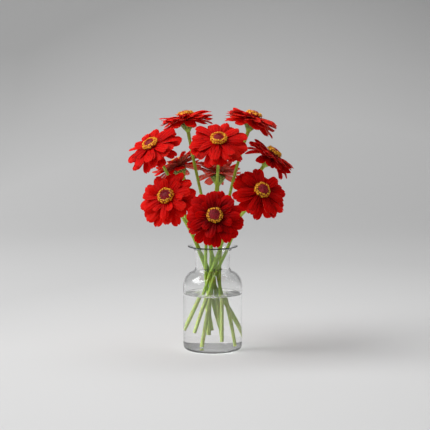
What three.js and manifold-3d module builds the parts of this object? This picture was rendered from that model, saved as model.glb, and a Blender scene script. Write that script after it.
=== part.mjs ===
// A bunch of ten red zinnias standing in a clear glass bottle vase that is half full of water.
// Millimetres, +Z up. The origin is the centre of the vase's foot, on the surface it stands on; -Y is the front.

import * as THREE from "three";
import { mergeVertices } from "three/addons/utils/BufferGeometryUtils.js";
import Module from "manifold-3d";

const wasm = await Module();
wasm.setup();

const GAP = 0.3; // between neighbouring pieces
const DEGREE = Math.PI / 180;
const UP = new THREE.Vector3(0, 0, 1);

// The vase has the outline of an apothecary bottle.
const VASE_HEIGHT = 124;
const BODY_RADIUS = 35;
const WALL = 2.2;
const FLOOR_THICKNESS = 4;
const FOOT_RADIUS = 28.5;
const HEEL_HEIGHT = 7;
const SHOULDER_BOTTOM = 76;
const SHOULDER_TOP = 93.2;
const SHOULDER_TOP_RADIUS = 24.5;
const NECK_BOTTOM = 99;
const NECK_RADIUS = 20.3;
const LIP_BOTTOM = 112;
const LIP_RADIUS = 29.6;
const LIP_EDGE = 1.5;
const VASE_SIDES = 28;
const OUTER_STEPS = 3; // to each curve of the outline
const INNER_STEPS = 2;

const WATER_LEVEL = 66.5;

// The stems pass each other at the waist of the sheaf, each the same way round, and bend to their heads above the lip.
const STEM_RADIUS = 1.8;
const STEM_SIDES = 6;
const STEM_STEPS = 11;
const WAIST_HEIGHT = 86;
const EXIT_HEIGHT = 122;
const OUTER_WAIST = 8.2; // radius of the ring of stems that lean most
const INNER_WAIST = 2.8; // and of the steep stems inside it
const BEND_SHARE = 0.42; // of the way from the lip to the head, for each arm of the bend

// The green cup of bracts under each head.
const CUP_HEIGHT = 12.5;
const CUP_SIDES = 12; // two to a bract
const BRACT_LENGTH = 0.8; // how far a tip reaches past its row
const BRACT_SPREAD = 0.2;
const CUP_PROFILE = [ // radius, height from the petals down, and the side on which a row has its tips
  [0, -12.5, 0],
  [1.9, -12.5, 0],
  [4.9, -8.2, 1],
  [4.4, -7.6, 0],
  [7.0, -4.4, -1],
  [6.5, -3.8, 0],
  [8.2, -1.6, 1],
  [6.6, -GAP, 0],
  [0, -GAP, 0],
];

// The petals stand in layers on a short core.
const CORE_RADIUS = 6.8;
const CORE_TOP_RADIUS = 6.2;
const CORE_HEIGHT = 6.4;
const CORE_SIDES = 7;
const ROOT_RADIUS = 5;
const PETAL_THICKNESS = 1;
const CLAW_SHARE = 0.32; // the petal's width at its root, as a share of its full width
const TIP_SHARE = 0.42;
const WIDEST_AT = 0.66; // of its length
const PETAL_STATIONS = [0, 0.3, 0.62, 0.87, 1];
const LAYERS = [ // from the lowest: count; reach, width and droop as shares; rise and height of the roots; share raised
  { count: 9, reach: 1, width: 0.36, droop: 1, lift: 1, root: 1.4, raised: 1, hang: 1 },
  { count: 9, reach: 0.98, width: 0.365, droop: 0.95, lift: 9, root: 2.7, raised: 1, hang: 0 },
  { count: 7, reach: 0.85, width: 0.34, droop: 0.8, lift: 18, root: 4.4, raised: 1.1, hang: 0 },
];
const PETAL_KINDS = [ // what a kind adds to the droop, in degrees, and its sway and notch as shares of its length
  { droop: 0, sway: 0.02, notch: 0.03 },
  { droop: 5, sway: -0.03, notch: 0.045 },
  { droop: 9, sway: 0.04, notch: 0.02 },
  { droop: -4, sway: -0.05, notch: 0.05 },
  { droop: 3, sway: 0, notch: 0.035 },
];

// The disc stands on the core, and the ring of open florets on the disc.
const DISC_SIDES = 12;
const DISC_RELIEF = 0.3;
const DISC_PROFILE = [ // radius, height, and share of the relief
  [0, CORE_HEIGHT + GAP, 0],
  [6.4, CORE_HEIGHT + GAP, 1],
  [7.6, 9.9, 1],
  [5.2, 10.2, 0],
  [4.5, 11.8, 1],
  [0, 12.8, 0],
];
const FLORETS = 10;
const FLORET_SPREAD = 1; // how far a floret stands outside the notch beside it
const FLORET_RISE = 0.5;
const RING_PROFILE = [
  [5.5, 10.6, 0],
  [8.6, 10.3, 0.6],
  [9.4, 12.4, 1],
  [6, 13, 0.5],
  [5.5, 10.6, 0],
];

// Each flower: where the underside of its petals is centred; which way it faces, turned from the front and tipped from
// upright; how far its longest petals reach, how far they droop, how much they are raised, and how far the lowest layer
// hangs below the others; where its stem passes the waist, how it leans above it, and where its cut end stands.
const FLOWERS = [
  { head: [-31, 24, 269], turn: -106, tip: 10, reach: 34, droop: 26, raised: 8, hang: 5,
    waist: INNER_WAIST, lean: 9, foot: [8.4, -3.2, 16] },
  { head: [46, 24, 269], turn: 95, tip: 19, reach: 34, droop: 28, raised: 8, hang: 7,
    waist: INNER_WAIST, lean: 12, foot: [-10.5, -8.2, 5] },
  { head: [-69, -9, 238], turn: -44, tip: 39, reach: 36, droop: 32, raised: 0, hang: 0,
    waist: OUTER_WAIST, lean: 24, foot: [27.3, 7.5, 13] },
  { head: [7, -25, 245], turn: 0, tip: 38, reach: 36, droop: 31, raised: 0, hang: 0,
    waist: INNER_WAIST, lean: 7, foot: [-3.4, 5.3, 18] },
  { head: [67, 5, 227], turn: 84, tip: 37, reach: 33, droop: 32, raised: 6, hang: 4,
    waist: OUTER_WAIST, lean: 25, foot: [-18.3, -11, 22] },
  { head: [-51, -38, 183], turn: -22, tip: 60, reach: 36, droop: 28, raised: 0, hang: 0,
    waist: OUTER_WAIST, lean: 24, foot: [6.6, 18, 22] },
  { head: [54, -39, 189], turn: 24, tip: 57, reach: 35, droop: 30, raised: -1, hang: 0,
    waist: OUTER_WAIST, lean: 24, foot: [-25.2, 5.5, 22] },
  { head: [2, -69, 164], turn: 2, tip: 62, reach: 35, droop: 24, raised: 0, hang: 0,
    waist: OUTER_WAIST, lean: 22, foot: [-1, 18.5, 22] },
  { head: [-41, 49.5, 211], turn: -115, tip: 30, reach: 33, droop: 18, raised: 12, hang: 20,
    waist: OUTER_WAIST, lean: 21, foot: [23.6, -12.4, 6] },
  { head: [6.5, 53.5, 202], turn: 172, tip: 20, reach: 30, droop: 14, raised: 24, hang: 26,
    waist: OUTER_WAIST, lean: 20, foot: [9.7, -20, 13] },
];

const LOOKS = {
  glass: { color: 0xe9efee, roughness: 0.03, metalness: 0, transparent: true, opacity: 0.3 },
  water: { color: 0xdfe8e6, roughness: 0.02, metalness: 0, transparent: true, opacity: 0.4 },
  stem: { color: 0x6f9136, roughness: 0.6, metalness: 0 },
  petals: { color: 0xc40d0a, roughness: 0.65, metalness: 0 },
  disc: { color: 0x55101c, roughness: 0.8, metalness: 0 },
  florets: { color: 0xe79a12, roughness: 0.7, metalness: 0 },
};

// Numbers from 0 to 1 in a fixed order, for the small differences between petals.
function draws(seed) {
  let state = Math.imul(seed, 2654435761) >>> 0;
  return () => {
    state = (Math.imul(state, 1664525) + 1013904223) >>> 0;
    return state / 4294967296;
  };
}

function solidOf(geometry) {
  const bare = geometry.clone();
  bare.deleteAttribute("normal");
  bare.deleteAttribute("uv");
  const merged = mergeVertices(bare, 1e-4);
  const mesh = new wasm.Mesh({
    numProp: 3,
    vertProperties: merged.attributes.position.array,
    triVerts: new Uint32Array(merged.index.array),
  });
  return new wasm.Manifold(mesh);
}

function geometryOf(solid) {
  const mesh = solid.getMesh();
  return new THREE.BufferGeometry()
    .setAttribute("position", new THREE.BufferAttribute(mesh.vertProperties, 3))
    .setIndex(new THREE.BufferAttribute(mesh.triVerts, 1));
}

function named(name, geometry, look) {
  const mesh = new THREE.Mesh(geometry, new THREE.MeshStandardMaterial(LOOKS[look]));
  mesh.name = name;
  return mesh;
}

// A profile of radii and heights turned round the upright axis. The relief, given a row's own relief value and
// whether the side is an odd one, says how far the row stands out and up there.
function turned(profile, sides, relief = () => [0, 0]) {
  const outline = profile.map(([radius, height]) => new THREE.Vector2(radius, height));
  const shape = new THREE.LatheGeometry(outline, sides).rotateX(90 * DEGREE);
  const position = shape.attributes.position;
  for (let i = 0; i < position.count; i++) {
    const [radius, height, value = 0] = profile[i % profile.length];
    if (radius > 0) {
      const side = Math.floor(i / profile.length) % sides;
      const [out, up] = relief(value, side % 2 === 1);
      const grown = (radius + out) / radius;
      position.setXYZ(i, position.getX(i) * grown, position.getY(i) * grown, height + up);
    }
  }
  return shape;
}

const pairs = (points) => points.map((point) => [point.x, point.y]);

// The outline from the body up to the neck's top, at a distance in from the outer wall.
function bottleSide(path, inset) {
  const neck = NECK_RADIUS - inset;
  const shoulder = SHOULDER_TOP - 0.9 * inset;
  path.lineTo(BODY_RADIUS - inset, SHOULDER_BOTTOM);
  path.quadraticCurveTo(BODY_RADIUS - inset, shoulder - 5, SHOULDER_TOP_RADIUS - 0.5 * inset, shoulder);
  path.quadraticCurveTo(neck, shoulder + 2, neck, NECK_BOTTOM);
  path.lineTo(neck, LIP_BOTTOM);
}

function vase() {
  const edge = VASE_HEIGHT - LIP_EDGE;
  const outer = new THREE.Path().moveTo(0, 0);
  outer.lineTo(FOOT_RADIUS, 0);
  outer.quadraticCurveTo(BODY_RADIUS, 0, BODY_RADIUS, HEEL_HEIGHT);
  bottleSide(outer, 0);
  outer.quadraticCurveTo(NECK_RADIUS, edge - 1, LIP_RADIUS, edge);
  const bore = BODY_RADIUS - WALL;
  const inner = new THREE.Path().moveTo(0, FLOOR_THICKNESS);
  inner.lineTo(FOOT_RADIUS, FLOOR_THICKNESS);
  inner.quadraticCurveTo(bore, FLOOR_THICKNESS, bore, FLOOR_THICKNESS + HEEL_HEIGHT);
  bottleSide(inner, WALL);
  inner.quadraticCurveTo(NECK_RADIUS - WALL, VASE_HEIGHT - 1, LIP_RADIUS - 1, VASE_HEIGHT);
  const profile = [...outer.getPoints(OUTER_STEPS), ...inner.getPoints(INNER_STEPS).reverse()];
  return named("vase", turned(pairs(profile), VASE_SIDES), "glass");
}

// The water fills the body to its level, less the holes in which the stems stand.
function water(holes) {
  const radius = BODY_RADIUS - WALL - GAP;
  const bottom = FLOOR_THICKNESS + GAP;
  const side = new THREE.Path().moveTo(0, bottom);
  side.lineTo(FOOT_RADIUS - GAP, bottom);
  side.quadraticCurveTo(radius, bottom, radius, bottom + HEEL_HEIGHT);
  side.lineTo(radius, WATER_LEVEL);
  side.lineTo(0, WATER_LEVEL);
  const filled = solidOf(turned(pairs(side.getPoints(INNER_STEPS)), VASE_SIDES));
  const left = holes.reduce((solid, hole) => solid.subtract(solidOf(hole)), filled);
  return named("water", geometryOf(left), "water");
}

// The way a head faces.
function axisOf(flower) {
  const level = Math.sin(flower.tip * DEGREE);
  const turn = flower.turn * DEGREE;
  return new THREE.Vector3(level * Math.sin(turn), -level * Math.cos(turn), Math.cos(flower.tip * DEGREE));
}

// The line of a stem from its cut end to the waist, on to the lip, and round to the cup under its head.
function stemLine(flower) {
  const head = new THREE.Vector3(...flower.head);
  const heading = head.clone().setZ(0).normalize();
  const leaning = (degrees) => heading.clone().multiplyScalar(Math.tan(degrees * DEGREE)).setZ(1);
  const slope = leaning(flower.lean);
  const waist = new THREE.Vector3().crossVectors(heading, UP).multiplyScalar(flower.waist).setZ(WAIST_HEIGHT);
  const foot = new THREE.Vector3(...flower.foot);
  const exit = waist.clone().addScaledVector(slope, EXIT_HEIGHT - WAIST_HEIGHT);
  const axis = axisOf(flower);
  const top = head.clone().addScaledVector(axis, 1 - CUP_HEIGHT);
  const arm = exit.distanceTo(top) * BEND_SHARE;
  const rising = exit.clone().addScaledVector(slope.clone().normalize(), arm);
  const arriving = top.clone().addScaledVector(axis, -arm);
  const line = new THREE.CurvePath();
  line.add(new THREE.LineCurve3(foot, waist));
  line.add(new THREE.LineCurve3(waist, exit));
  line.add(new THREE.CubicBezierCurve3(exit, rising, arriving, top));
  return line;
}

function tube(line, radius, sides, steps) {
  const corners = Array.from({ length: sides }, (_, i) => {
    const angle = (i / sides) * 360 * DEGREE;
    return new THREE.Vector2(radius * Math.cos(angle), radius * Math.sin(angle));
  });
  return new THREE.ExtrudeGeometry(new THREE.Shape(corners), { steps, extrudePath: line, bevelEnabled: false });
}

// The hole in which a stem stands in the water, from a little past its cut end to above the surface.
function holeFor(flower) {
  const [straight] = stemLine(flower).curves;
  const along = straight.v2.clone().sub(straight.v1).normalize();
  const end = straight.v1.clone().addScaledVector(along, -2 * GAP);
  const above = end.clone().addScaledVector(along, (WATER_LEVEL + 2 * STEM_RADIUS - end.z) / along.z);
  return tube(new THREE.LineCurve3(end, above), STEM_RADIUS + 2 * GAP, STEM_SIDES + 1, 1);
}

// The stem with its cup: the rows' tips stand out by turns, each row's between those of the row below.
function stem(flower, number) {
  const stalk = solidOf(tube(stemLine(flower), STEM_RADIUS, STEM_SIDES, STEM_STEPS));
  const cup = turned(CUP_PROFILE, CUP_SIDES, (side, odd) => {
    const tip = odd ? side : -side;
    return [BRACT_SPREAD * tip, BRACT_LENGTH * tip];
  });
  const turn = new THREE.Quaternion().setFromUnitVectors(UP, axisOf(flower));
  const bracts = solidOf(cup.applyQuaternion(turn).translate(...flower.head));
  return named(`stem_${number}`, geometryOf(stalk.add(bracts)), "stem");
}

// Half the width of a petal of width 1, from its claw past its widest place to its tip.
function halfWidth(along) {
  if (along < WIDEST_AT) {
    const grown = Math.sin((along / WIDEST_AT) * 90 * DEGREE);
    return 0.5 * (CLAW_SHARE + (1 - CLAW_SHARE) * grown);
  }
  const past = (along - WIDEST_AT) / (1 - WIDEST_AT);
  return 0.5 * (TIP_SHARE + (1 - TIP_SHARE) * Math.sqrt(1 - past * past));
}

// A petal that leaves its root level along +X and bends down in an arc: flat above, with a ridge along its underside
// and a notch in its tip.
function petalBlade(length, width, kind, droop) {
  const bend = (droop + kind.droop) * DEGREE;
  const corners = PETAL_STATIONS.map((along) => {
    const angle = bend * along;
    const half = width * halfWidth(along);
    const sway = kind.sway * length * along * along;
    const top = new THREE.Vector3(Math.sin(angle), 0, Math.cos(angle) - 1).multiplyScalar(length / bend);
    const down = new THREE.Vector3(-Math.sin(angle), 0, -Math.cos(angle));
    const back = new THREE.Vector3(-kind.notch * length, 0, 0);
    const under = along < 1 ? down.multiplyScalar(PETAL_THICKNESS) : back;
    return [top.clone().setY(sway + half), top.clone().setY(sway - half), top.clone().setY(sway).add(under)];
  });
  const faces = [];
  const face = (...points) => faces.push(...points.flatMap((point) => point.toArray()));
  const quad = (a, b, c, d) => face(a, b, c, a, c, d);
  const [rootLeft, rootRight, rootUnder] = corners[0];
  face(rootLeft, rootUnder, rootRight);
  corners.slice(1).forEach(([left, right, under], i) => {
    const [lastLeft, lastRight, lastUnder] = corners[i];
    if (i < corners.length - 2) {
      quad(lastLeft, lastRight, right, left);
    } else {
      face(lastLeft, lastRight, under, lastRight, right, under, lastLeft, under, left);
    }
    quad(lastLeft, left, under, lastUnder);
    quad(lastRight, lastUnder, under, right);
  });
  return new THREE.BufferGeometry().setAttribute("position", new THREE.Float32BufferAttribute(faces, 3));
}

// The petals of one head, each a little different from the next.
function petals(flower, number) {
  const draw = draws(number);
  const core = [[0, 0], [CORE_RADIUS, 0], [CORE_TOP_RADIUS, CORE_HEIGHT], [0, CORE_HEIGHT]];
  const parts = [solidOf(turned(core, CORE_SIDES))];
  LAYERS.forEach((layer, level) => {
    for (let i = 0; i < layer.count; i++) {
      const turn = (360 / layer.count) * (i + 0.5 * level + 0.24 * (draw() - 0.5));
      const raised = flower.raised * layer.raised - flower.hang * layer.hang;
      const lift = layer.lift + raised + 8 * (draw() - 0.5);
      const roll = 20 * (draw() - 0.5);
      const length = flower.reach * layer.reach * (0.94 + 0.09 * draw()) - ROOT_RADIUS;
      const width = flower.reach * layer.width * (0.88 + 0.18 * draw());
      const kind = PETAL_KINDS[Math.floor(draw() * PETAL_KINDS.length)];
      const blade = petalBlade(length, width, kind, flower.droop * layer.droop);
      blade.rotateX(roll * DEGREE).rotateY(-lift * DEGREE).translate(ROOT_RADIUS, 0, layer.root);
      parts.push(solidOf(blade.rotateZ(turn * DEGREE)));
    }
  });
  return named(`petals_${number}`, geometryOf(wasm.Manifold.union(parts)), "petals");
}

function disc(number) {
  const shape = turned(DISC_PROFILE, DISC_SIDES, (share, odd) => [odd ? DISC_RELIEF * share : 0, 0]);
  return named(`disc_${number}`, shape, "disc");
}

function floretRing(number) {
  const shape = turned(RING_PROFILE, 2 * FLORETS, (share, odd) => {
    return odd ? [FLORET_SPREAD * share, FLORET_RISE * share] : [0, 0];
  });
  return named(`floret_ring_${number}`, shape, "florets");
}

// A flower's stem, and its head in a group that is turned the way the head faces.
function flower(entry, number) {
  const head = new THREE.Group();
  head.position.set(...entry.head);
  head.quaternion.setFromUnitVectors(UP, axisOf(entry));
  head.add(petals(entry, number), disc(number), floretRing(number));
  return [stem(entry, number), head];
}

const bunch = new THREE.Group();
bunch.add(vase(), water(FLOWERS.map(holeFor)));
FLOWERS.forEach((entry, i) => bunch.add(...flower(entry, i + 1)));

export default bunch;
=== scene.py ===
import math

import bmesh
import bpy
from mathutils import Euler, Matrix, Vector


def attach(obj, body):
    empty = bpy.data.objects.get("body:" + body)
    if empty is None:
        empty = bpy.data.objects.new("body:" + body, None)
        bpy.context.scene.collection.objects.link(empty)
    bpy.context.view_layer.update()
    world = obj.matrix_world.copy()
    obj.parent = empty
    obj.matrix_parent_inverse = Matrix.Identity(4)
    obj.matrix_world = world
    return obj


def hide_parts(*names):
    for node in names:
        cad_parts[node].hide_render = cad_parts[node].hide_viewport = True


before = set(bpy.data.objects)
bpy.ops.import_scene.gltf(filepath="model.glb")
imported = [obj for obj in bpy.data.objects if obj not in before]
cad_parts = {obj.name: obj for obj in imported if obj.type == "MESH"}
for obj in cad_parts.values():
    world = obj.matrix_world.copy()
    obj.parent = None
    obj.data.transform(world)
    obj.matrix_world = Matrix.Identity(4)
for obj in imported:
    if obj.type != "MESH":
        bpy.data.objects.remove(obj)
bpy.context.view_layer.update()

# Ten red zinnias in a clear glass bottle vase. Everything is made in millimetres and scaled to metres
# when it is finished. Up is +Z, the front is -Y, and the origin is the centre of the vase's foot.
MILLIMETRE = 0.001
UP = Vector((0, 0, 1))

# The vase, as in the CAD part.
VASE_HEIGHT = 124
BODY_RADIUS = 35
WALL = 2.2
FLOOR_THICKNESS = 4
FOOT_RADIUS = 28.5
HEEL_HEIGHT = 7
SHOULDER_BOTTOM = 76
SHOULDER_TOP = 93.2
SHOULDER_TOP_RADIUS = 24.5
NECK_BOTTOM = 99
NECK_RADIUS = 20.3
LIP_BOTTOM = 112
LIP_RADIUS = 29.6
LIP_EDGE = 1.5
LIP_ROUND = 0.8  # how far in from its rim the lip's edge starts to round
WATER_LEVEL = 66.5
MENISCUS = 1.6  # how far the water climbs the glass
PUNT = 1.3  # how far the underside of the foot is pushed up
INNER_CORNER = 2.5  # radius of the corner between wall and floor inside
WATER_CREEP = 0.35  # how far the water reaches into the glass wall, so that no air shows between them
WATER_GAP = 0.08  # how far the water stands clear of the glass floor, which keeps the foot light
SURFACE_PAINTED_LIGHT = 0.22  # share of the surface made pale: painted light for the water's glints
LATHE_STEPS = 160

# The stems.
STEM_RADIUS = 1.8
WAIST_HEIGHT = 86
EXIT_HEIGHT = 122
OUTER_WAIST = 8.2
INNER_WAIST = 2.8
BEND_SHARE = 0.42
BEND_STEPS = 24
CUP_HEIGHT = 12.5
FLARE = 0.3  # how much the stalk widens into its cup, as a share of its radius
FLARE_LENGTH = 9
KNOT = 0.4  # how much it swells where its leaves were cut off
KNOT_LENGTH = 1.4
KNOT_HEIGHT = 93
KNOT_STEP = 0.9  # the knots sit at four heights, this far apart
STALK_SIDES = 14
STALK_RING_GAP = 1.3
SCAR_HEIGHT = 94.5
BUNCH_TOP = 98  # below this the green is darkened with painted shade, as the crowded stems shade each other
BUNCH_BOTTOM = 86

# The petals.
ROOT_RADIUS = 5
PETAL_GRID = {"Vertices X": 24, "Vertices Y": 15, "Vertices Z": 2}
# Layers of petals from the lowest: how many; their reach and width as shares of the head's reach; their
# droop as a share of the head's; the degrees they rise; the height of their roots; the shares they take
# of the head's raising and hang; and by how many degrees their rise varies.
LAYERS = [
    {"count": 9, "reach": 1, "width": 0.36, "droop": 1, "lift": 1, "root": 1.4,
     "raised": 1, "hang": 1, "spread": 10},
    {"count": 9, "reach": 0.98, "width": 0.365, "droop": 0.95, "lift": 9, "root": 2.7,
     "raised": 1, "hang": 0, "spread": 10},
    {"count": 7, "reach": 0.85, "width": 0.34, "droop": 0.8, "lift": 12, "root": 5.8,
     "raised": 1, "hang": 0, "spread": 10},
]
PETAL_KINDS = [
    {"droop": 0, "sway": 0.02, "notch": 0.03},
    {"droop": 5, "sway": -0.03, "notch": 0.045},
    {"droop": 9, "sway": 0.04, "notch": 0.02},
    {"droop": -4, "sway": -0.05, "notch": 0.05},
    {"droop": 3, "sway": 0, "notch": 0.035},
]
PETAL_BLADE = {"Thickness": 0.4, "Claw": 0.38, "Tip": 0.5, "Widest": 0.68, "Furrow": 0.3, "Wave": 0.5}
# The layer of inner petals, apart from what each flower says of its own.
INNER_LAYER = {"droop": 0.65, "root": 4.6, "raised": 0.6, "hang": 0}

# Each flower: where the underside of its petals is centred and which way it faces; the reach, droop and
# raising of its petals; by how many degrees its lowest layer hangs below the others; how many inner
# petals it has, with their reach as a share, their rise and how much it varies; how much painted light
# lightens its red, or below 0 painted shade darkens it; how large its open florets are, as a share; and
# how its stem stands.
FLOWERS = [
    {"head": (-31, 24, 269), "turn": -106, "tip": 10, "reach": 34, "droop": 26, "raised": 2, "hang": 6,
     "inner": (30, 0.97, 4, 25), "shade": 1.5, "florets": 1,
     "waist": INNER_WAIST, "lean": 9, "foot": (8.4, -3.2, 16)},
    {"head": (46, 24, 269), "turn": 95, "tip": 19, "reach": 34, "droop": 28, "raised": 2, "hang": 7,
     "inner": (28, 0.96, 4, 25), "shade": 1.3, "florets": 1,
     "waist": INNER_WAIST, "lean": 12, "foot": (-10.5, -8.2, 5)},
    {"head": (-69, -9, 238), "turn": -44, "tip": 39, "reach": 36, "droop": 32, "raised": 0, "hang": 0,
     "inner": (12, 0.94, 9, 16), "shade": 0, "florets": 1,
     "waist": OUTER_WAIST, "lean": 24, "foot": (27.3, 7.5, 13)},
    {"head": (7, -25, 245), "turn": 0, "tip": 38, "reach": 36, "droop": 31, "raised": 0, "hang": 0,
     "inner": (12, 0.97, 9, 16), "shade": 0, "florets": 1,
     "waist": INNER_WAIST, "lean": 7, "foot": (-3.4, 5.3, 18)},
    {"head": (67, 5, 227), "turn": 84, "tip": 37, "reach": 33, "droop": 32, "raised": 5, "hang": 9,
     "inner": (26, 0.91, 3, 26), "shade": -1.3, "florets": 1,
     "waist": OUTER_WAIST, "lean": 25, "foot": (-18.3, -11, 22)},
    {"head": (-51, -38, 183), "turn": -22, "tip": 60, "reach": 36, "droop": 28, "raised": 0, "hang": 0,
     "inner": (6, 0.66, 24, 14), "shade": 0.1, "florets": 0.92,
     "waist": OUTER_WAIST, "lean": 24, "foot": (6.6, 18, 22)},
    {"head": (54, -39, 189), "turn": 24, "tip": 57, "reach": 35, "droop": 30, "raised": -1, "hang": 0,
     "inner": (5, 0.9, 8, 14), "shade": -0.7, "florets": 0.92,
     "waist": OUTER_WAIST, "lean": 24, "foot": (-25.2, 5.5, 22)},
    {"head": (2, -69, 164), "turn": 2, "tip": 62, "reach": 35, "droop": 24, "raised": 0, "hang": 0,
     "inner": (7, 0.64, 24, 10), "shade": -1.7, "florets": 0.8,
     "waist": OUTER_WAIST, "lean": 22, "foot": (-1, 18.5, 22)},
    {"head": (-41, 49.5, 211), "turn": -115, "tip": 30, "reach": 33, "droop": 18, "raised": 12, "hang": 20,
     "inner": (14, 0.95, 6, 22), "shade": 0.1, "florets": 1,
     "waist": OUTER_WAIST, "lean": 21, "foot": (23.6, -12.4, 6)},
    {"head": (6.5, 53.5, 202), "turn": 172, "tip": 20, "reach": 30, "droop": 14, "raised": 24, "hang": 29,
     "inner": (14, 0.95, 2, 22), "shade": 0.1, "florets": 1,
     "waist": OUTER_WAIST, "lean": 20, "foot": (9.7, -20, 13)},
]

# The cup of bracts, the disc and its florets, in a head's own frame, with the underside of its petals
# at height 0. Profiles are radii and heights. Rows of scales are a count, radius, height, slope and size.
CUP_PROFILE = [
    (0, -12.5), (2.0, -12.5), (3.4, -10.6), (5.0, -8), (6.2, -5.6),
    (7.0, -3), (7.2, -1), (6.4, 1.2), (0, 1.2)]
BRACT_ROWS = [
    (7, 2.2, -11.6, 64, 5.2),
    (9, 3.9, -9.4, 60, 5.4),
    (11, 5.3, -7.2, 58, 5.4),
    (12, 6.4, -5.0, 56, 5.0),
    (13, 7.1, -3.2, 52, 3.8),
]
DISC_PROFILE = [
    (0, 1), (6.2, 1), (6.6, 5), (7.2, 8.6), (7.0, 10.0),
    (5.8, 10.9), (4.6, 11.8), (3.2, 12.6), (1.6, 13.1), (0, 13.2)]
CHAFF_ROWS = [
    (16, 6.4, 4.4, 84, 3.0),
    (18, 6.8, 6.0, 80, 3.2),
    (20, 7.2, 7.4, 74, 3.4),
    (20, 7.6, 8.6, 66, 3.2),
    (20, 5.4, 10.4, 92, 2.6),
    (18, 4.9, 11.1, 98, 2.3),
    (15, 4.2, 11.7, 102, 2.1),
    (12, 3.3, 12.2, 100, 1.9),
    (9, 2.4, 12.5, 98, 1.7),
    (6, 1.5, 12.7, 96, 1.5),
    (3, 0.6, 12.8, 92, 1.3),
]
FLORET_BED = [(0, 8.4), (6.8, 8.4), (7.7, 9.2), (7.5, 10.3), (6.5, 10.9), (5.3, 10.9), (0, 9.5)]
FLORET_ROWS = [  # count, radius, height, degrees from upright, size
    (23, 6.8, 9.1, 62, 3.4),
    (21, 6.4, 10.0, 28, 3.0),
]
HEAD_STEPS = 32

# The camera. Its lens is given in pixels of the picture.
PICTURE_WIDTH = 430
LENS_PIXELS = 1500
SENSOR_WIDTH = 36
CAMERA_PLACE = (0.00277, -1.7603, 0.3454)
CAMERA_TILT = 84  # degrees up from straight down


class Value:
    """A number or vector that a node gives. It is added, multiplied and so on as a plain number is."""

    def __init__(self, nodes, socket):
        self.nodes = nodes
        self.socket = socket

    def __add__(self, other):
        return self.nodes.math("ADD", self, other)

    def __radd__(self, other):
        return self.nodes.math("ADD", other, self)

    def __sub__(self, other):
        return self.nodes.math("SUBTRACT", self, other)

    def __rsub__(self, other):
        return self.nodes.math("SUBTRACT", other, self)

    def __mul__(self, other):
        return self.nodes.math("MULTIPLY", self, other)

    def __rmul__(self, other):
        return self.nodes.math("MULTIPLY", other, self)

    def __truediv__(self, other):
        return self.nodes.math("DIVIDE", self, other)

    def __pow__(self, other):
        return self.nodes.math("POWER", self, other)


class Nodes:
    """A node tree for a mesh or a material, with short ways to add nodes to it."""

    def __init__(self, tree):
        self.tree = tree

    def feed(self, socket, value):
        if isinstance(value, Value):
            self.tree.links.new(value.socket, socket)
        else:
            socket.default_value = value

    def add(self, kind, sockets=None, output=0, **settings):
        """Adds a node, feeds its sockets, given by name or number, and returns one of its outputs."""
        node = self.tree.nodes.new(kind)
        for setting, value in settings.items():
            setattr(node, setting, value)
        for key, value in (sockets or {}).items():
            self.feed(node.inputs[key], value)
        return Value(self, node.outputs[output])

    def math(self, operation, *values):
        return self.add("ShaderNodeMath", dict(enumerate(values)), operation=operation)

    def sine(self, value):
        return self.math("SINE", value)

    def cosine(self, value):
        return self.math("COSINE", value)

    def smaller(self, a, b):
        return self.math("MINIMUM", a, b)

    def larger(self, a, b):
        return self.math("MAXIMUM", a, b)

    def hill(self, value, width):
        """A bump of height 1 over 0, with about this width on each side."""
        share = value / width
        return self.math("EXPONENT", share * share * -1)

    def split(self, vector):
        node = self.tree.nodes.new("ShaderNodeSeparateXYZ")
        self.feed(node.inputs[0], vector)
        return [Value(self, socket) for socket in node.outputs]

    def vector(self, x, y, z):
        return self.add("ShaderNodeCombineXYZ", {0: x, 1: y, 2: z})


class MeshNodes(Nodes):
    """A Geometry Nodes tree with named inputs."""

    def __init__(self, name, inputs):
        super().__init__(bpy.data.node_groups.new(name, "GeometryNodeTree"))
        face = self.tree.interface
        face.new_socket("Geometry", in_out="INPUT", socket_type="NodeSocketGeometry")
        for label, kind in inputs.items():
            face.new_socket(label, in_out="INPUT", socket_type="NodeSocket" + kind)
        face.new_socket("Geometry", in_out="OUTPUT", socket_type="NodeSocketGeometry")
        entry = self.tree.nodes.new("NodeGroupInput")
        self.inputs = {socket.name: Value(self, socket) for socket in entry.outputs if socket.name}

    def read(self, name, kind="FLOAT"):
        return self.add("GeometryNodeInputNamedAttribute", {"Name": name}, data_type=kind)

    def store(self, geometry, name, value):
        sockets = {"Geometry": geometry, "Name": name, "Value": value}
        return self.add("GeometryNodeStoreNamedAttribute", sockets, data_type="FLOAT", domain="POINT")

    def rotated(self, vector, angle, axis):
        sockets = {"Vector": vector, "Angle": angle}
        return self.add("ShaderNodeVectorRotate", sockets, rotation_type=axis)

    def finish(self, geometry, material):
        """Realizes what is left of instances, shades it smooth and gives it its material."""
        real = self.add("GeometryNodeRealizeInstances", {"Geometry": geometry})
        smooth = self.add("GeometryNodeSetShadeSmooth", {"Geometry": real})
        finished = self.add("GeometryNodeSetMaterial", {"Geometry": smooth, "Material": material})
        leave = self.tree.nodes.new("NodeGroupOutput")
        self.feed(leave.inputs[0], finished)
        return self.tree


def grown_mesh(tree, start, inputs):
    """The plain mesh that a tree grows from a starting mesh, with these values for its named inputs."""
    seedling = bpy.data.objects.new("seedling", start)
    bpy.context.scene.collection.objects.link(seedling)
    growth = seedling.modifiers.new("growth", "NODES")
    growth.node_group = tree
    for item in tree.interface.items_tree:
        if item.in_out == "INPUT" and item.name in inputs:
            growth[item.identifier] = inputs[item.name]
    bpy.context.view_layer.update()
    grown = seedling.evaluated_get(bpy.context.evaluated_depsgraph_get())
    mesh = bpy.data.meshes.new_from_object(grown)
    seedling.modifiers.remove(growth)
    bpy.data.objects.remove(seedling)
    return mesh


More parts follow.
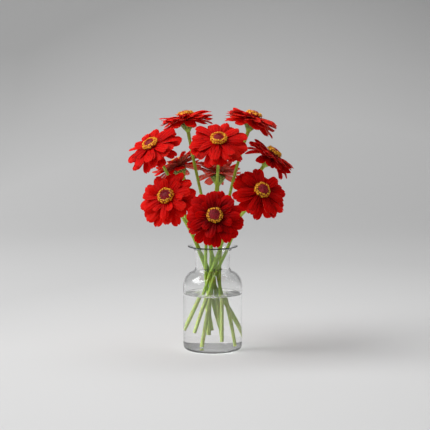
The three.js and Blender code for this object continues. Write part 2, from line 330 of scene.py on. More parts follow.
def scattered(points, attributes, edges=()):
    """A mesh of bare points with a number or a vector at each, for a tree to grow from."""
    mesh = bpy.data.meshes.new("points")
    mesh.from_pydata(points, edges, [])
    for name, values in attributes.items():
        if isinstance(values[0], (int, float)):
            mesh.attributes.new(name, "FLOAT", "POINT").data.foreach_set("value", values)
        else:
            flat = [number for value in values for number in value]
            mesh.attributes.new(name, "FLOAT_VECTOR", "POINT").data.foreach_set("vector", flat)
    return mesh


def piece(name, mesh, replaced=(), matrix=Matrix.Identity(4)):
    """A finished piece of the bunch, from a mesh in millimetres."""
    mesh.transform(Matrix.Scale(MILLIMETRE, 4) @ matrix)
    mesh.name = name
    made = bpy.data.objects.new(name, mesh)
    bpy.context.scene.collection.objects.link(made)
    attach(made, "root")
    if replaced:
        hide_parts(*replaced)


def steadied(profile, margin=0.8):
    """The profile with a point near each end of its long straight runs, which keeps their shading even."""
    points = [Vector(profile[0])]
    for start, end in zip(profile, profile[1:]):
        run = Vector(end) - Vector(start)
        if run.length > 4 * margin:
            points.append(Vector(start) + run.normalized() * margin)
            points.append(Vector(end) - run.normalized() * margin)
        points.append(Vector(end))
    return points


def turned(profile, sides, material):
    """A profile of radii and heights, from axis to axis, turned round the upright axis."""
    mesh = bpy.data.meshes.new("turned")
    shape = bmesh.new()
    rings = []
    for radius, height in steadied(profile):
        if radius < 1e-6:
            rings.append([shape.verts.new((0, 0, height))])
            continue
        ring = []
        for side in range(sides):
            angle = math.tau * side / sides
            ring.append(shape.verts.new((radius * math.cos(angle), radius * math.sin(angle), height)))
        rings.append(ring)
    for low, high in zip(rings, rings[1:]):
        for side in range(sides):
            after = (side + 1) % sides
            corners = []
            for ring, step in ((low, side), (low, after), (high, after), (high, side)):
                corner = ring[step % len(ring)]
                if corner not in corners:
                    corners.append(corner)
            shape.faces.new(corners).smooth = True
    bmesh.ops.recalc_face_normals(shape, faces=shape.faces)
    shape.to_mesh(mesh)
    shape.free()
    mesh.materials.append(material)
    return mesh


def curve_points(start, bend, end, steps):
    """Points of a quadratic curve after its start."""
    points = []
    for i in range(1, steps + 1):
        t = i / steps
        pulls = zip(start, bend, end)
        points.append(tuple((1 - t) ** 2 * a + 2 * t * (1 - t) * b + t * t * c for a, b, c in pulls))
    return points


def draws(seed):
    """Numbers from 0 to 1 in a fixed order, the same as the CAD part draws for its petals."""
    state = seed * 2654435761 % 2**32
    while True:
        state = (state * 1664525 + 1013904223) % 2**32
        yield state / 2**32


# Materials


def new_material(name):
    material = bpy.data.materials.new(name)
    material.use_nodes = True
    nodes = Nodes(material.node_tree)
    shader = material.node_tree.nodes["Principled BSDF"]
    return material, nodes, shader


def colour_steps(nodes, share, steps):
    """A colour that runs through these steps, each a place from 0 to 1 with a colour."""
    node = nodes.tree.nodes.new("ShaderNodeValToRGB")
    nodes.feed(node.inputs[0], share)
    ramp = node.color_ramp
    while len(ramp.elements) < len(steps):
        ramp.elements.new(0.5)
    for element, (place, colour) in zip(ramp.elements, steps):
        element.position = place
        element.color = (*colour, 1)
    return Value(nodes, node.outputs[0])


def blended(nodes, share, first, second):
    sockets = {0: share, 6: first, 7: second}
    return nodes.add("ShaderNodeMix", sockets, output=2, data_type="RGBA")


def surface_place(nodes):
    return Value(nodes, nodes.tree.nodes.new("ShaderNodeTexCoord").outputs["Object"])


def attribute(nodes, name):
    return nodes.add("ShaderNodeAttribute", output=2, attribute_name=name)


def noise(nodes, place, scale, detail=3, roughness=0.5):
    sockets = {"Vector": place, "Scale": scale, "Detail": detail, "Roughness": roughness}
    return nodes.add("ShaderNodeTexNoise", sockets)


def bump(nodes, shader, height, strength, distance):
    sockets = {"Height": height, "Strength": strength, "Distance": distance * MILLIMETRE}
    nodes.feed(shader.inputs["Normal"], nodes.add("ShaderNodeBump", sockets))


def lets_lamps_through(material, nodes, shader, tint):
    """Lets the lamps' light pass clear glass or water, so that what stands in it and behind it is lit."""
    lamp_ray = nodes.add("ShaderNodeLightPath", output="Is Shadow Ray")
    clear = nodes.add("ShaderNodeBsdfTransparent", {"Color": (*tint, 1)})
    surface = Value(nodes, shader.outputs["BSDF"])
    mixed = nodes.add("ShaderNodeMixShader", {0: lamp_ray, 1: surface, 2: clear})
    nodes.feed(material.node_tree.nodes["Material Output"].inputs["Surface"], mixed)


def glass_material():
    material, nodes, shader = new_material("clear_glass")
    shader.inputs["Base Color"].default_value = (0.998, 1, 0.999, 1)
    shader.inputs["Transmission Weight"].default_value = 1
    shader.inputs["IOR"].default_value = 1.46
    place = surface_place(nodes)
    smudge = noise(nodes, place, 60)
    nodes.feed(shader.inputs["Roughness"], nodes.larger(smudge - 0.55, 0) * 0.12)
    bump(nodes, shader, noise(nodes, place, 45, detail=1), 0.25, 0.6)
    lets_lamps_through(material, nodes, shader, (0.98, 0.985, 0.983))
    return material


def water_material():
    """Clear water, whose surface and meniscus are made a little pale, painted light for their glints."""
    material, nodes, shader = new_material("still_water")
    shader.inputs["Base Color"].default_value = (0.999, 1, 1, 1)
    height = nodes.split(surface_place(nodes))[2]
    # Painted light: the surface and meniscus turn some light back as pale white, for the water's glints.
    painted_light_on_surface = nodes.math("GREATER_THAN", height, (WATER_LEVEL - 0.2) * MILLIMETRE)
    nodes.feed(shader.inputs["Transmission Weight"], 1 - painted_light_on_surface * SURFACE_PAINTED_LIGHT)
    shader.inputs["IOR"].default_value = 1.333
    shader.inputs["Roughness"].default_value = 0
    bump(nodes, shader, noise(nodes, surface_place(nodes), 90, detail=1), 0.15, 0.5)
    lets_lamps_through(material, nodes, shader, (0.99, 0.995, 0.992))
    return material


def stem_material():
    """Green with streaks along it, made paler with painted light where it stands in water and darker with
    painted shade where the stems crowd, with dark scars where leaves were cut.
    """
    material, nodes, shader = new_material("fresh_stem")
    place = surface_place(nodes)
    x, y, z = nodes.split(place)
    streaks = noise(nodes, nodes.vector(x * 900, y * 900, z * 40), 1)
    patches = noise(nodes, place, 90)
    dry = colour_steps(nodes, streaks * 0.6 + patches * 0.4, [
        (0.3, (0.21, 0.36, 0.012)), (0.5, (0.42, 0.67, 0.05)), (0.7, (0.61, 0.87, 0.18))])
    # Under water the green is paler: painted light, for the bright backdrop the water bends onto it.
    underwater_painted_light = colour_steps(nodes, streaks * 0.6 + patches * 0.4, [
        (0.3, (0.33, 0.43, 0.09)), (0.5, (0.45, 0.55, 0.14)), (0.7, (0.56, 0.66, 0.23))])
    sunk = nodes.add("ShaderNodeMapRange", {
        "Value": z, "From Min": (WATER_LEVEL + 1) * MILLIMETRE, "From Max": (WATER_LEVEL - 3) * MILLIMETRE})
    # Painted shade: the green darkens from BUNCH_TOP down, where the crowded stems shade each other.
    crowded_painted_shade = nodes.add("ShaderNodeMapRange", {
        "Value": z, "From Min": BUNCH_TOP * MILLIMETRE, "From Max": BUNCH_BOTTOM * MILLIMETRE, "To Max": 0.4})
    dry = blended(nodes, crowded_painted_shade, dry, (0.13, 0.19, 0.01, 1))
    green = blended(nodes, sunk, dry, underwater_painted_light)
    scars = nodes.math("GREATER_THAN", noise(nodes, place, 330), 0.48)
    scarred = nodes.hill(z - SCAR_HEIGHT * MILLIMETRE, 3 * MILLIMETRE) * scars
    nodes.feed(shader.inputs["Base Color"], blended(nodes, scarred * 0.9, green, (0.05, 0.07, 0.015, 1)))
    nodes.feed(shader.inputs["Roughness"], streaks * 0.2 + 0.38)
    shader.inputs["Subsurface Weight"].default_value = 0.15
    shader.inputs["Subsurface Scale"].default_value = 0.001
    bump(nodes, shader, streaks, 0.4, 0.25)
    return material


def bract_material():
    """Green scales with a dark dry edge."""
    material, nodes, shader = new_material("cup_scale")
    across = attribute(nodes, "across")
    along = attribute(nodes, "along")
    side = nodes.math("ABSOLUTE", across)
    mottle = noise(nodes, surface_place(nodes), 700)
    margin = nodes.larger(side ** 3, along ** 4) + mottle * 0.35 - 0.18
    colour = colour_steps(nodes, margin, [
        (0.0, (0.32, 0.48, 0.06)), (0.25, (0.15, 0.24, 0.03)),
        (0.48, (0.04, 0.04, 0.015)), (0.7, (0.012, 0.008, 0.005))])
    nodes.feed(shader.inputs["Base Color"], colour)
    nodes.feed(shader.inputs["Roughness"], mottle * 0.2 + 0.45)
    bump(nodes, shader, noise(nodes, nodes.vector(across * 6, along, 0.0), 4), 0.3, 0.2)
    return material


def petal_material():
    """Velvet red with fine veins, painted shade towards its root, painted light and shade that differ from
    flower to flower, and a dusty rose underside made paler with painted light shining through it.
    """
    material, nodes, shader = new_material("red_petal")
    across = attribute(nodes, "across")
    along = attribute(nodes, "along")
    upper = attribute(nodes, "upper")
    shade = attribute(nodes, "shade")
    veins = noise(nodes, nodes.vector(across * 7, along * 1.3, shade * 37), 1.6, detail=4, roughness=0.62)
    mottle = noise(nodes, surface_place(nodes), 160)
    # Painted shade darkens the red towards the root; each flower's painted light and shade shifts it too.
    red_tone_and_painted_shade = along * 0.45 + veins * 0.55 + mottle * 0.12 + shade * 0.2 - 0.02
    top = colour_steps(nodes, red_tone_and_painted_shade, [
        (0.2, (0.13, 0.0, 0.001)), (0.42, (0.38, 0.001, 0.001)),
        (0.68, (0.58, 0.003, 0.002)), (0.95, (0.70, 0.010, 0.005))])
    # The underside is a dusty rose, made paler with painted light that stands for light shining through.
    under = colour_steps(nodes, veins * 0.8 + mottle * 0.2, [
        (0.3, (0.56, 0.036, 0.03)), (0.5, (0.74, 0.10, 0.075)), (0.72, (0.86, 0.27, 0.20))])
    nodes.feed(shader.inputs["Base Color"], blended(nodes, upper, under, top))
    nodes.feed(shader.inputs["Roughness"], veins * 0.25 + 0.42)
    shader.inputs["Specular IOR Level"].default_value = 0.03
    shader.inputs["Sheen Weight"].default_value = 0.03
    shader.inputs["Sheen Roughness"].default_value = 0.4
    shader.inputs["Sheen Tint"].default_value = (1, 0.15, 0.1, 1)
    shader.inputs["Subsurface Weight"].default_value = 0.8
    shader.inputs["Subsurface Radius"].default_value = (1, 0.12, 0.08)
    shader.inputs["Subsurface Scale"].default_value = 0.0022
    bump(nodes, shader, veins, 0.5, 0.35)
    return material


def chaff_material():
    """Dark red-brown, a little brighter at the tips of the scales."""
    material, nodes, shader = new_material("disc_chaff")
    along = attribute(nodes, "along")
    grain = noise(nodes, surface_place(nodes), 900)
    colour = colour_steps(nodes, along * 0.7 + grain * 0.4, [
        (0.15, (0.16, 0.002, 0.006)), (0.5, (0.52, 0.009, 0.027)), (0.9, (0.78, 0.032, 0.07))])
    nodes.feed(shader.inputs["Base Color"], colour)
    nodes.feed(shader.inputs["Roughness"], grain * 0.2 + 0.55)
    bump(nodes, shader, grain, 0.5, 0.2)
    return material


def floret_material():
    """Yellow lobes on an orange throat, powdery with pollen."""
    material, nodes, shader = new_material("open_floret")
    along = attribute(nodes, "along")
    powder = noise(nodes, surface_place(nodes), 1400)
    colour = colour_steps(nodes, along * 0.75 + powder * 0.35, [
        (0.1, (0.62, 0.09, 0.003)), (0.35, (0.92, 0.27, 0.002)),
        (0.65, (0.97, 0.42, 0.003)), (1.0, (0.98, 0.55, 0.006))])
    nodes.feed(shader.inputs["Base Color"], colour)
    nodes.feed(shader.inputs["Roughness"], powder * 0.2 + 0.5)
    bump(nodes, shader, powder, 0.6, 0.2)
    return material


# Trees


def petal_tree():
    """Grows one petal from each starting point: a thin closed blade that leaves its root level and bends
    down in an arc, with furrows along it, a wave near its tip and a notch in it."""
    sizes = {size: "Float" for size in (*PETAL_BLADE, "Root")}
    grow = MeshNodes("petal_layers", {**sizes, "Material": "Material"})
    given = grow.inputs
    blank = grow.add("GeometryNodeMeshCube", {"Size": (1, 1, 1), **PETAL_GRID})
    x, y, z = grow.split(grow.add("GeometryNodeInputPosition"))
    left = 0.5 - x
    along = 1 - grow.larger(left, 0) ** 1.5
    blank = grow.store(blank, "along", along)
    blank = grow.store(blank, "across", y * 2)
    blank = grow.store(blank, "upper", z + 0.5)
    planted = grow.add("GeometryNodeInstanceOnPoints", {"Points": given["Geometry"], "Instance": blank})
    blades = grow.add("GeometryNodeRealizeInstances", {"Geometry": planted})

    along = grow.read("along")
    across = grow.read("across")
    upper = grow.read("upper")
    length = grow.read("length")
    phase = grow.read("phase")
    side = grow.math("ABSOLUTE", across)

    widening = grow.sine(grow.smaller(along / given["Widest"], 1) * (math.pi / 2))
    past = grow.larger(along - given["Widest"], 0) / (1 - given["Widest"])
    rounding = grow.math("SQRT", grow.larger(1 - past * past, 0))
    body = given["Claw"] + (1 - given["Claw"]) * widening
    end = given["Tip"] + (1 - given["Tip"]) * rounding
    half = grow.read("width") * 0.5 * body * end

    nick = grow.hill(across - grow.sine(phase * 9) * 0.3, 0.22) * grow.read("notch") * 1.3
    shortened = along ** 6 * (across * across * 0.05) + along ** 14 * nick
    reach = along - shortened

    bend = grow.read("bend")
    angle = bend * reach
    arc = length / bend
    forward = grow.sine(angle) * arc
    upward = (grow.cosine(angle) - 1) * arc
    aside = across * half + grow.read("sway") * length * reach * reach

    cupped = across * across * half * grow.read("cup")
    trough = side * half * 0.5 * (1 - along) ** 3
    furrows = grow.cosine(across * (math.pi * 3)) * grow.sine(along * math.pi) * given["Furrow"]
    ripple = grow.sine(along * 7 + phase * math.tau) * along * along * given["Wave"]
    twist = grow.sine(along * 4 + phase * 21) * across * half * 0.16 * along
    curl = along ** 4 * grow.read("curl") * length
    raised = cupped + trough - furrows + ripple + twist + curl
    edge = grow.larger(side, past) ** 4
    thickness = given["Thickness"] * (1 - 0.7 * edge)
    raised = raised + (upper - 1) * thickness

    x = forward + grow.sine(angle) * raised
    z = upward + grow.cosine(angle) * raised
    shaped = grow.vector(x, aside, z)
    rolled = grow.rotated(shaped, grow.read("roll"), "X_AXIS")
    lifted = grow.rotated(rolled, grow.read("lift") * -1, "Y_AXIS")
    x, y, z = grow.split(lifted)
    rooted = grow.vector(x + given["Root"], y, z + grow.read("root"))
    turned_round = grow.rotated(rooted, grow.read("turn"), "Z_AXIS")
    placed = grow.add("GeometryNodeSetPosition", {"Geometry": blades, "Position": turned_round})
    return grow.finish(placed, given["Material"])


def repeat_tree():
    """Sets a copy of a form on each starting point, the way its facing says, each a little larger or
    smaller and turned a little."""
    grow = MeshNodes("repeated_forms", {
        "Form": "Object", "Size Spread": "Float", "Turn Spread": "Float", "Seed": "Int",
        "Material": "Material"})
    given = grow.inputs
    form = grow.add("GeometryNodeObjectInfo", {"Object": given["Form"]}, output=4)
    facing = grow.add("FunctionNodeEulerToRotation", {0: grow.read("facing", "FLOAT_VECTOR")})
    most = given["Turn Spread"]
    least = most * -1
    turns = {0: grow.vector(least, least, least), 1: grow.vector(most, most, most), "Seed": given["Seed"]}
    wobble = grow.add("FunctionNodeRandomValue", turns, data_type="FLOAT_VECTOR")
    wobble = grow.add("FunctionNodeEulerToRotation", {0: wobble})
    facing = grow.add("FunctionNodeRotateRotation", {0: facing, 1: wobble}, rotation_space="LOCAL")
    growths = {2: 1 - given["Size Spread"], 3: 1 + given["Size Spread"], "Seed": given["Seed"] + 1}
    growth = grow.add("FunctionNodeRandomValue", growths, output=1, data_type="FLOAT")
    size = growth * grow.read("size")
    copies = grow.add("GeometryNodeInstanceOnPoints", {
        "Points": given["Geometry"], "Instance": form, "Rotation": facing,
        "Scale": grow.vector(size, size, size)})
    return grow.finish(copies, given["Material"])


def stalk_tree():
    """Draws a round stalk along a line, a little thicker at its knot and widening into the cup on top."""
    sizes = ("Radius", "Flare", "Flare Length", "Knot", "Knot Length", "Knot Height")
    grow = MeshNodes("stalk", {**{size: "Float" for size in sizes}, "Material": "Material"})
    given = grow.inputs
    line = grow.add("GeometryNodeMeshToCurve", {"Mesh": given["Geometry"]})
    line = grow.add("GeometryNodeResampleCurve", {"Curve": line, "Length": STALK_RING_GAP}, mode="LENGTH")
    gone = grow.add("GeometryNodeSplineParameter", output=1)
    whole = grow.add("GeometryNodeSplineLength")
    height = grow.split(grow.add("GeometryNodeInputPosition"))[2]
    flare = grow.hill(whole - gone, given["Flare Length"]) * given["Flare"]
    knot = grow.hill(height - given["Knot Height"], given["Knot Length"]) * given["Knot"]
    taper = 1.08 - 0.12 * (gone / whole)
    radius = given["Radius"] * (taper + flare + knot)
    circle = grow.add("GeometryNodeCurvePrimitiveCircle", {"Resolution": STALK_SIDES, "Radius": 1.0})
    tube = grow.add("GeometryNodeCurveToMesh", {
        "Curve": line, "Profile Curve": circle, "Scale": radius, "Fill Caps": True})
    return grow.finish(tube, given["Material"])


# Forms that are repeated


def blade_form(name, outline, rise, thickness, long_faces, cross_faces):
    """A small closed blade along +X from the origin, 1 long. Its half width and its height are functions
    of the share of its length. It carries how far along and across each point lies."""
    points = []
    for level in (0, 1):
        for i in range(long_faces + 1):
            along = i / long_faces
            for j in range(cross_faces + 1):
                across = 2 * j / cross_faces - 1
                half = outline(along)
                lift = rise(along, across)
                deep = thickness * (1 - 0.7 * max(abs(across), along) ** 3)
                ahead = along - 0.12 * across * across * along ** 4
                points.append((ahead, across * half, lift + (level - 1) * deep))
    row = cross_faces + 1
    sheet = row * (long_faces + 1)
    faces = []
    for i in range(long_faces):
        for j in range(cross_faces):
            a = i * row + j
            faces.append((a, a + 1, a + row + 1, a + row))
            faces.append((sheet + a, sheet + a + row, sheet + a + row + 1, sheet + a + 1))
    rim = [i * row for i in range(long_faces)]
    rim += [long_faces * row + j for j in range(cross_faces)]
    rim += [(long_faces - i) * row + cross_faces for i in range(long_faces)]
    rim += [cross_faces - j for j in range(cross_faces)]
    for a, b in zip(rim, rim[1:] + rim[:1]):
        faces.append((a, b, sheet + b, sheet + a))
    mesh = bpy.data.meshes.new(name)
    mesh.from_pydata(points, [], faces)
    for label, value in (("along", lambda k: (k % sheet) // row / long_faces),
                         ("across", lambda k: 2 * (k % row) / cross_faces - 1)):
        layer = mesh.attributes.new(label, "FLOAT", "POINT").data
        layer.foreach_set("value", [value(k) for k in range(len(points))])
    return form_object(mesh)


def form_object(mesh):
    shape = bmesh.new()
    shape.from_mesh(mesh)
    bmesh.ops.recalc_face_normals(shape, faces=shape.faces)
    shape.to_mesh(mesh)
    shape.free()
    form = bpy.data.objects.new(mesh.name, mesh)
    bpy.context.scene.collection.objects.link(form)
    return form


def floret_form():
    """An open floret 1 high: a slim tube that opens in a star of five pointed lobes."""
    # The radius of each ring at the notches and at the lobes' tips, its height at both, and how far along
    # the floret it is.
    rings = [
        (0.14, 0.14, 0.0, 0.0, 0.0),
        (0.17, 0.17, 0.62, 0.62, 0.35),
        (0.22, 0.56, 0.88, 0.98, 1.0),
    ]
    points = [(0, 0, 0)]
    shares = [0]
    for notch, tip, notch_height, tip_height, along in rings:
        for i in range(10):
            radius, height = (tip, tip_height) if i % 2 else (notch, notch_height)
            angle = math.tau * i / 10
            points.append((radius * math.cos(angle), radius * math.sin(angle), height))
            shares.append(along if i % 2 else along * 0.8)
    points.append((0, 0, 0.86))
    shares.append(0.5)
    faces = []
    for i in range(10):
        after = (i + 1) % 10
        faces.append((0, 1 + after, 1 + i))
        faces.append((len(points) - 1, 21 + i, 21 + after))
        for low in (1, 11):
            faces.append((low + i, low + after, low + 10 + after, low + 10 + i))
    mesh = bpy.data.meshes.new("floret")
    mesh.from_pydata(points, [], faces)
    mesh.attributes.new("along", "FLOAT", "POINT").data.foreach_set("value", shares)
    return form_object(mesh)


def bract_form():
    """A broad blunt scale."""
    def outline(along):
        return 0.46 * math.sin(math.pi * min(0.25 + 0.62 * along, 0.92)) + 0.02

    def rise(along, across):
        return 0.10 * math.sin(math.pi * along) - 0.16 * across * across

    return blade_form("bract", outline, rise, thickness=0.10, long_faces=5, cross_faces=4)


def chaff_form():
    """A narrow pointed scale."""
    def outline(along):
        return 0.28 * (1 - along) ** 0.7 + 0.03

    def rise(along, across):
        return 0.12 * math.sin(math.pi * along) - 0.12 * across * across

    return blade_form("chaff", outline, rise, thickness=0.12, long_faces=3, cross_faces=2)


# Places on a head


def on_turned_surface(radius, height, slope, angle):
    """The place and facing of a form on a turned surface: its length runs along the surface, which
    slopes up this many degrees, and its back faces out."""
    slope = math.radians(slope)
    out = Vector((math.cos(angle), math.sin(angle), 0))
    length = out * math.cos(slope) + UP * math.sin(slope)
    back = out * math.sin(slope) - UP * math.cos(slope)
    facing = Matrix((length, back.cross(length), back)).transposed().to_euler()
    return out * radius + UP * height, facing


def rows_of_scales(rows, seed):
    """Scales in rows, each row a half step on from the last."""
    places = []
    facings = []
    sizes = []
    for level, (count, radius, height, slope, size) in enumerate(rows):
        for i in range(count):
            angle = math.tau * (i + 0.5 * (level % 2) + 0.13 * seed) / count
            place, facing = on_turned_surface(radius, height, slope, angle)
            places.append(place)
            facings.append(tuple(facing))
            sizes.append(size)
    return scattered(places, {"facing": facings, "size": sizes})


def florets_on_ring(seed, share):
    """Open florets in rows round the disc, this share of their full size."""
    places = []
    facings = []
    sizes = []
    for level, (count, radius, height, tilt, size) in enumerate(FLORET_ROWS):
        for i in range(count):
            angle = math.tau * (i + 0.5 * level + 0.21 * seed) / count
            places.append((radius * math.cos(angle), radius * math.sin(angle), height))
            turning = Matrix.Rotation(angle, 3, "Z") @ Matrix.Rotation(math.radians(tilt), 3, "Y")
            facings.append(tuple(turning.to_euler()))
            sizes.append(size * share)
    return scattered(places, {"facing": facings, "size": sizes})


def petal_points(flower, number):
    """One point for each petal, with its sizes and set. The first six draws of each petal in LAYERS are
    those of the CAD part."""
    draw = draws(number)
    extra = draws(number + 100)
    names = ("turn", "lift", "roll", "length", "width", "bend", "sway", "notch", "root", "phase", "shade",
             "cup", "curl")
    values = {name: [] for name in names}
    count, reach, lift, spread = flower["inner"]
    width = 0.26 + 0.25 * (reach - 0.64)  # the longer they are, the wider
    inner = {**INNER_LAYER, "count": count, "reach": reach, "width": width, "lift": lift, "spread": spread}
    for level, layer in enumerate([*LAYERS, inner]):
        for i in range(layer["count"]):
            turn = 360 / layer["count"] * (i + 0.5 * level + 0.24 * (next(draw) - 0.5))
            lift = layer["lift"] + flower["raised"] * layer["raised"] - flower["hang"] * layer["hang"]
            lift += layer["spread"] * (next(draw) - 0.5)
            roll = 30 * (next(draw) - 0.5)
            length = flower["reach"] * layer["reach"] * (0.94 + 0.09 * next(draw)) - ROOT_RADIUS
            width = flower["reach"] * layer["width"] * (0.88 + 0.18 * next(draw))
            kind = PETAL_KINDS[int(next(draw) * len(PETAL_KINDS))]
            bend = flower["droop"] * layer["droop"] + kind["droop"]
            values["turn"].append(math.radians(turn))
            values["lift"].append(math.radians(lift))
            values["roll"].append(math.radians(roll))
            values["length"].append(length)
            values["width"].append(width)
            values["bend"].append(math.radians(bend))
            values["sway"].append(kind["sway"])
            values["notch"].append(kind["notch"])
            values["root"].append(layer["root"])
            values["phase"].append(next(extra))
            # Each petal's tone varies at random, and its flower's painted light and shade is added to it.
            values["shade"].append(next(extra) + flower["shade"])
            values["cup"].append(0.45 * next(extra) - 0.38)
            values["curl"].append(0.05 * next(extra) - 0.02)
    return scattered([(0, 0, 0)] * len(values["turn"]), values)


def axis_of(flower):
    """The way a head faces."""
    tip = math.radians(flower["tip"])
    turn = math.radians(flower["turn"])
    return Vector((math.sin(tip) * math.sin(turn), -math.sin(tip) * math.cos(turn), math.cos(tip)))


def head_matrix(flower):
    return Matrix.Translation(flower["head"]) @ UP.rotation_difference(axis_of(flower)).to_matrix().to_4x4()


def stem_line(flower):
    """The points of a stem from its cut end past the waist to the lip, and in a bend to its cup."""
    head = Vector(flower["head"])
    heading = Vector((head.x, head.y, 0)).normalized()

    def leaning(degrees):
        return heading * math.tan(math.radians(degrees)) + UP

    slope = leaning(flower["lean"])
    waist = heading.cross(UP) * flower["waist"] + UP * WAIST_HEIGHT
    foot = Vector(flower["foot"])
    leave = waist + slope * (EXIT_HEIGHT - WAIST_HEIGHT)
    axis = axis_of(flower)
    top = head + axis * (1 - CUP_HEIGHT)
    arm = (leave - top).length * BEND_SHARE
    rising = leave + slope.normalized() * arm
    arriving = top - axis * arm
    points = [foot, foot.lerp(waist, 0.9), waist, waist.lerp(leave, 0.12), leave]
    for i in range(1, BEND_STEPS + 1):
        t = i / BEND_STEPS
        point = (1 - t) ** 3 * leave + 3 * t * (1 - t) ** 2 * rising
        point = point + 3 * t * t * (1 - t) * arriving
        points.append(point + t**3 * top)
    return points


# Making the pieces

GLASS = glass_material()
WATER = water_material()
STEM = stem_material()
BRACT = bract_material()
PETAL = petal_material()
CHAFF = chaff_material()
FLORET = floret_material()


def bottle_side(inset, steps):
    """The outline from the body up to the neck's top, at a distance in from the outer wall."""
    neck = NECK_RADIUS - inset
    shoulder = SHOULDER_TOP - 0.9 * inset
    body = BODY_RADIUS - inset
    turn = (SHOULDER_TOP_RADIUS - 0.5 * inset, shoulder)
    points = [(body, SHOULDER_BOTTOM)]
    points += curve_points((body, SHOULDER_BOTTOM), (body, shoulder - 5), turn, steps)
    points += curve_points(turn, (neck, shoulder + 2), (neck, NECK_BOTTOM), steps)
    points += [(neck, LIP_BOTTOM)]
    return points


def floor_corner(bore, floor):
    """The rounded corner inside, from the floor up to the wall."""
    return curve_points((bore - INNER_CORNER, floor), (bore, floor), (bore, floor + INNER_CORNER), 6)


def make_vase():
    edge = VASE_HEIGHT - LIP_EDGE
    profile = [
        (0, PUNT), (FOOT_RADIUS * 0.5, PUNT * 0.9), (FOOT_RADIUS * 0.84, PUNT * 0.35),
        (FOOT_RADIUS * 0.93, 0), (FOOT_RADIUS, 0)]
    profile += curve_points((FOOT_RADIUS, 0), (BODY_RADIUS, 0), (BODY_RADIUS, HEEL_HEIGHT), 10)
    profile += bottle_side(0, 10)
    under = (LIP_RADIUS - LIP_ROUND, edge + 0.3)
    outermost = (LIP_RADIUS, edge + 0.9)
    over = (LIP_RADIUS - LIP_ROUND, edge + LIP_EDGE)
    profile += curve_points((NECK_RADIUS, LIP_BOTTOM), (NECK_RADIUS, edge - 1), under, 12)
    profile += curve_points(under, (LIP_RADIUS, edge + 0.4), outermost, 4)
    profile += curve_points(outermost, (LIP_RADIUS, edge + LIP_EDGE), over, 4)

    bore = BODY_RADIUS - WALL
    throat = NECK_RADIUS - WALL
    inside = [(0, FLOOR_THICKNESS), (bore - INNER_CORNER, FLOOR_THICKNESS)]
    inside += floor_corner(bore, FLOOR_THICKNESS)
    inside += bottle_side(WALL, 10)
    flare = (LIP_RADIUS - 2, VASE_HEIGHT - 0.1)
    inside += curve_points((throat, LIP_BOTTOM), (throat, VASE_HEIGHT - 1), flare, 12)
    piece("glass_vase", turned(profile + inside[::-1], LATHE_STEPS, GLASS), ["vase"])


def make_water():
    """The water, which climbs the glass a little round its surface."""
    bore = BODY_RADIUS - WALL + WATER_CREEP
    bottom = FLOOR_THICKNESS + WATER_GAP
    profile = [(0, bottom), (bore - INNER_CORNER, bottom)]
    profile += floor_corner(bore, bottom)
    top = WATER_LEVEL + MENISCUS
    profile += [(bore, top)]
    profile += curve_points((bore, top), (bore - 0.6, WATER_LEVEL + 0.1), (bore - 4, WATER_LEVEL), 8)
    profile += [(bore * 0.6, WATER_LEVEL), (0, WATER_LEVEL)]
    piece("vase_water", turned(profile, LATHE_STEPS, WATER), ["water"])


def make_flower(flower, number, trees, forms):
    head = head_matrix(flower)
    line = stem_line(flower)
    start = scattered(line, {}, edges=[(i, i + 1) for i in range(len(line) - 1)])
    stalk = grown_mesh(trees["stalk"], start, {
        "Radius": STEM_RADIUS, "Flare": FLARE, "Flare Length": float(FLARE_LENGTH), "Knot": KNOT,
        "Knot Length": KNOT_LENGTH, "Knot Height": KNOT_HEIGHT + KNOT_STEP * (number % 4), "Material": STEM})
    piece(f"stalk_{number}", stalk, [f"stem_{number}"])
    cup = turned(CUP_PROFILE, HEAD_STEPS, STEM)
    piece(f"cup_{number}", cup, matrix=head)
    bracts = grown_mesh(trees["repeat"], rows_of_scales(BRACT_ROWS, number), {
        "Form": forms["bract"], "Size Spread": 0.06, "Turn Spread": 0.07, "Seed": number, "Material": BRACT})
    piece(f"bracts_{number}", bracts, matrix=head)

    petals = grown_mesh(trees["petal"], petal_points(flower, number), {
        **PETAL_BLADE, "Root": float(ROOT_RADIUS), "Material": PETAL})
    piece(f"red_petals_{number}", petals, [f"petals_{number}"], head)

    disc = turned(DISC_PROFILE, HEAD_STEPS, CHAFF)
    piece(f"disc_body_{number}", disc, [f"disc_{number}"], head)
    chaff = grown_mesh(trees["repeat"], rows_of_scales(CHAFF_ROWS, number), {
        "Form": forms["chaff"], "Size Spread": 0.15, "Turn Spread": 0.12, "Seed": number, "Material": CHAFF})
    piece(f"chaff_{number}", chaff, matrix=head)
    florets = grown_mesh(trees["repeat"], florets_on_ring(number, flower["florets"]), {
        "Form": forms["floret"], "Size Spread": 0.18, "Turn Spread": 0.3, "Seed": number, "Material": FLORET})
    piece(f"florets_{number}", florets, [f"floret_ring_{number}"], head)
    # Between small florets the dark chaff shows, and full ones stand on their own orange throats.
    bed = turned(FLORET_BED, HEAD_STEPS, CHAFF if flower["florets"] < 1 else FLORET)
    piece(f"floret_bed_{number}", bed, matrix=head)


make_vase()
make_water()
TREES = {"petal": petal_tree(), "repeat": repeat_tree(), "stalk": stalk_tree()}
FORMS = {"bract": bract_form(), "chaff": chaff_form(), "floret": floret_form()}
for number, flower in enumerate(FLOWERS, 1):
    make_flower(flower, number, TREES, FORMS)
for form in FORMS.values():
    bpy.data.objects.remove(form)
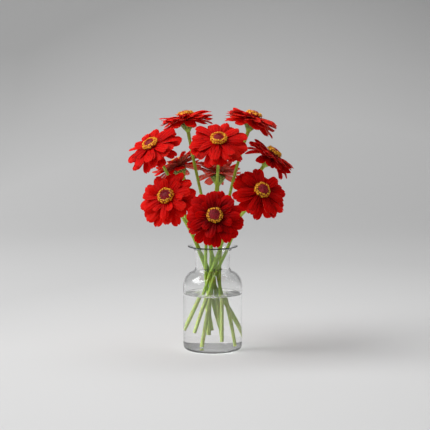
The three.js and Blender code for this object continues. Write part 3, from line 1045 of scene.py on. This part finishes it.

# The room: a pale floor that curves up into a backdrop with painted light on it, soft light and the camera


def make_backdrop():
    profile = [(-4.0, 0.0)]
    for i in range(13):
        angle = math.radians(90 * i / 12)
        profile.append((1.2 + 1.3 * math.sin(angle), 1.3 - 1.3 * math.cos(angle)))
    profile.append((2.5, 5.0))
    points = []
    for y, z in profile:
        points += [(-5, y, z), (5, y, z)]
    faces = [(2 * i, 2 * i + 1, 2 * i + 3, 2 * i + 2) for i in range(len(profile) - 1)]
    mesh = bpy.data.meshes.new("backdrop")
    mesh.from_pydata(points, [], faces)
    for face in mesh.polygons:
        face.use_smooth = True
    material, nodes, shader = new_material("pale_backdrop")
    place = surface_place(nodes)
    x, y, z = nodes.split(place)
    # Painted light: the grey is lightest in a pool near the vase and darkens back, up and to the sides.
    aside = x - 0.18
    off_centre = nodes.smaller(aside * aside * 1.8, 0.8)
    painted_light_falloff = nodes.larger(y, 0) + z * 3 + off_centre + noise(nodes, place, 3) * 0.05
    painted_light_greys = [(0, 0.67), (0.09, 0.62), (0.2, 0.55), (0.4, 0.54), (0.62, 0.56), (0.78, 0.50), (1, 0.39)]
    colour = colour_steps(nodes, painted_light_falloff / 4, [(place, (grey, grey, grey)) for place, grey in painted_light_greys])
    nodes.feed(shader.inputs["Base Color"], colour)
    shader.inputs["Roughness"].default_value = 0.9
    shader.inputs["Specular IOR Level"].default_value = 0.1
    mesh.materials.append(material)
    backdrop = bpy.data.objects.new("backdrop", mesh)
    bpy.context.scene.collection.objects.link(backdrop)


def make_light(name, place, aim, size, watts):
    lamp = bpy.data.lights.new(name, "AREA")
    lamp.shape = "RECTANGLE"
    lamp.size, lamp.size_y = size
    lamp.energy = watts
    light = bpy.data.objects.new(name, lamp)
    light.location = place
    light.rotation_euler = (Vector(place) - Vector(aim)).to_track_quat("Z", "Y").to_euler()
    bpy.context.scene.collection.objects.link(light)


def make_world(grey):
    world = bpy.data.worlds.new("studio")
    world.use_nodes = True
    world.node_tree.nodes["Background"].inputs["Color"].default_value = (grey, grey, grey, 1)
    bpy.context.scene.world = world


def make_camera():
    lens = bpy.data.cameras.new("camera")
    lens.sensor_width = SENSOR_WIDTH
    lens.lens = LENS_PIXELS / PICTURE_WIDTH * SENSOR_WIDTH
    camera = bpy.data.objects.new("camera", lens)
    camera.location = CAMERA_PLACE
    camera.rotation_euler = Euler((math.radians(CAMERA_TILT), 0, 0))
    bpy.context.scene.collection.objects.link(camera)
    bpy.context.scene.camera = camera


make_backdrop()
make_light("window", (-1.6, -0.3, 1.9), (0, 0, 0.15), (2, 2), 66)
make_light("top_light", (0.2, 0.5, 1.9), (0, 0.1, 0.1), (1.6, 1.6), 8)
make_light("wall_light", (0, 0.9, 2.6), (0, 2.4, 0.7), (2.4, 0.6), 8)
make_world(0.24)
make_camera()
bpy.context.scene.view_settings.view_transform = "Standard"
